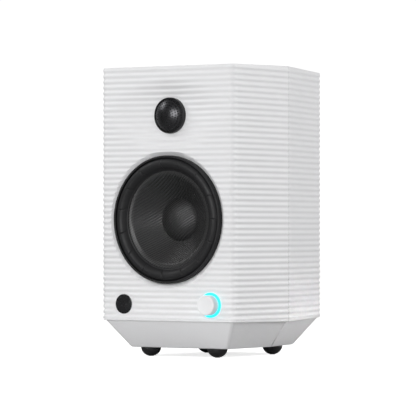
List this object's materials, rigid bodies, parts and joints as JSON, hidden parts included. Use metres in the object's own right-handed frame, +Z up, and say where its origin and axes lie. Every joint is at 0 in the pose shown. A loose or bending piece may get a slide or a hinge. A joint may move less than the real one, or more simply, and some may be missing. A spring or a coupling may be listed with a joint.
{
  "type": "bookshelf speaker",
  "caption": "Active bookshelf speaker with a ribbed white cabinet on a tapered skirt and rubber feet, woofer, domed-grille tweeter, lit volume knob and rear amplifier panel.",
  "frame": {"origin": "on the floor under the middle of the whole object's box, rubber feet at z = 0", "axes": "+Z up, the front with the drivers and the knob faces -Y, +X is to the right of a person who faces the front"},
  "size_m": [0.186, 0.255, 0.3366],
  "materials": {
    "white_plastic": "satin moulded, fine ribs",
    "knob_plastic": "satin",
    "lamp_plastic": "lit translucent",
    "black_rubber": "matt",
    "cone_fibre": "woven, lacquered",
    "grille_metal": "satin black, perforated",
    "window_plastic": "gloss",
    "black_plastic": "fine texture",
    "basket_metal": "powder coated",
    "steel": "zinc plated",
    "ferrite": "sintered, matt",
    "copper": "enamelled winding wire",
    "former_paper": "kraft",
    "spider_fabric": "resin dipped",
    "dome_fabric": "coated silk",
    "foam": "soft foam",
    "circuit_board": "solder mask",
    "panel_metal": "fine texture black",
    "jack_metal": "gold plated",
    "heat_sink_metal": "anodised"
  },
  "bodies": {
    "root": {"front_shell": "white_plastic", "rear_shell": "white_plastic", "seam_gasket": "foam", "shell_screws": "steel", "foot_front_left": "black_rubber", "foot_front_right": "black_rubber", "foot_back_left": "black_rubber", "foot_back_right": "black_rubber", "woofer_rim": "black_rubber", "woofer_gasket": "foam", "woofer_basket": "basket_metal", "woofer_screws": "steel", "woofer_surround": "black_rubber", "woofer_spider": "spider_fabric", "woofer_top_plate": "steel", "woofer_magnet": "ferrite", "woofer_yoke": "steel", "tweeter_rim": "black_plastic", "tweeter_grille": "grille_metal", "tweeter_body": "black_plastic", "tweeter_screws": "steel", "tweeter_surround": "black_rubber", "tweeter_motor": "steel", "light_ring": "lamp_plastic", "encoder_body": "black_plastic", "ir_window": "window_plastic", "ir_receiver": "black_plastic", "control_board": "circuit_board", "board_screws": "steel", "rear_panel": "panel_metal", "panel_screws": "steel", "line_input_left": "jack_metal", "line_input_right": "jack_metal", "link_socket": "black_plastic", "mains_inlet": "black_plastic", "rocker_frame": "black_plastic", "button_housing": "black_plastic", "heat_sink": "heat_sink_metal", "board_standoffs": "steel", "amplifier_board": "circuit_board", "transformer_core": "steel", "transformer_winding": "copper", "port_tube": "black_plastic", "damping_pads": "foam"},
    "woofer_moving": {"woofer_cone": "cone_fibre", "woofer_dust_cap": "cone_fibre", "woofer_former": "former_paper", "woofer_coil": "copper"},
    "tweeter_moving": {"tweeter_dome": "dome_fabric", "tweeter_coil": "copper"},
    "knob_carrier": {"encoder_plunger": "black_plastic"},
    "knob": {"volume_knob": "knob_plastic", "volume_shaft": "steel"},
    "rocker": {"power_rocker": "black_plastic"},
    "button": {"pair_button": "black_plastic"}
  },
  "joints": [
    {"name": "woofer_travel", "type": "slide", "parent": "root", "child": "woofer_moving", "axis": [0, -1, 0], "range_m": [-0.004, 0.004], "stiffness_N_per_m": 1500, "deforming": ["woofer_surround", "woofer_spider"]},
    {"name": "tweeter_travel", "type": "slide", "parent": "root", "child": "tweeter_moving", "axis": [0, -1, 0], "range_m": [-0.0003, 0.0003], "stiffness_N_per_m": 1000, "deforming": ["tweeter_surround"]},
    {"name": "knob_press", "type": "slide", "parent": "root", "child": "knob_carrier", "axis": [0, 1, 0], "range_m": [0, 0.0005], "stiffness_N_per_m": 3000},
    {"name": "knob_turn", "type": "hinge", "parent": "knob_carrier", "child": "knob", "pos_m": [0.0605, -0.1175, 0.061], "axis": [0, 1, 0], "continuous": true},
    {"name": "power_switch", "type": "hinge", "parent": "root", "child": "rocker", "pos_m": [0.022, 0.1171, 0.084], "axis": [1, 0, 0], "range_deg": [-16, 0]},
    {"name": "pair_press", "type": "slide", "parent": "root", "child": "button", "axis": [0, -1, 0], "range_m": [0, 0.0008], "stiffness_N_per_m": 1500}
  ]
}
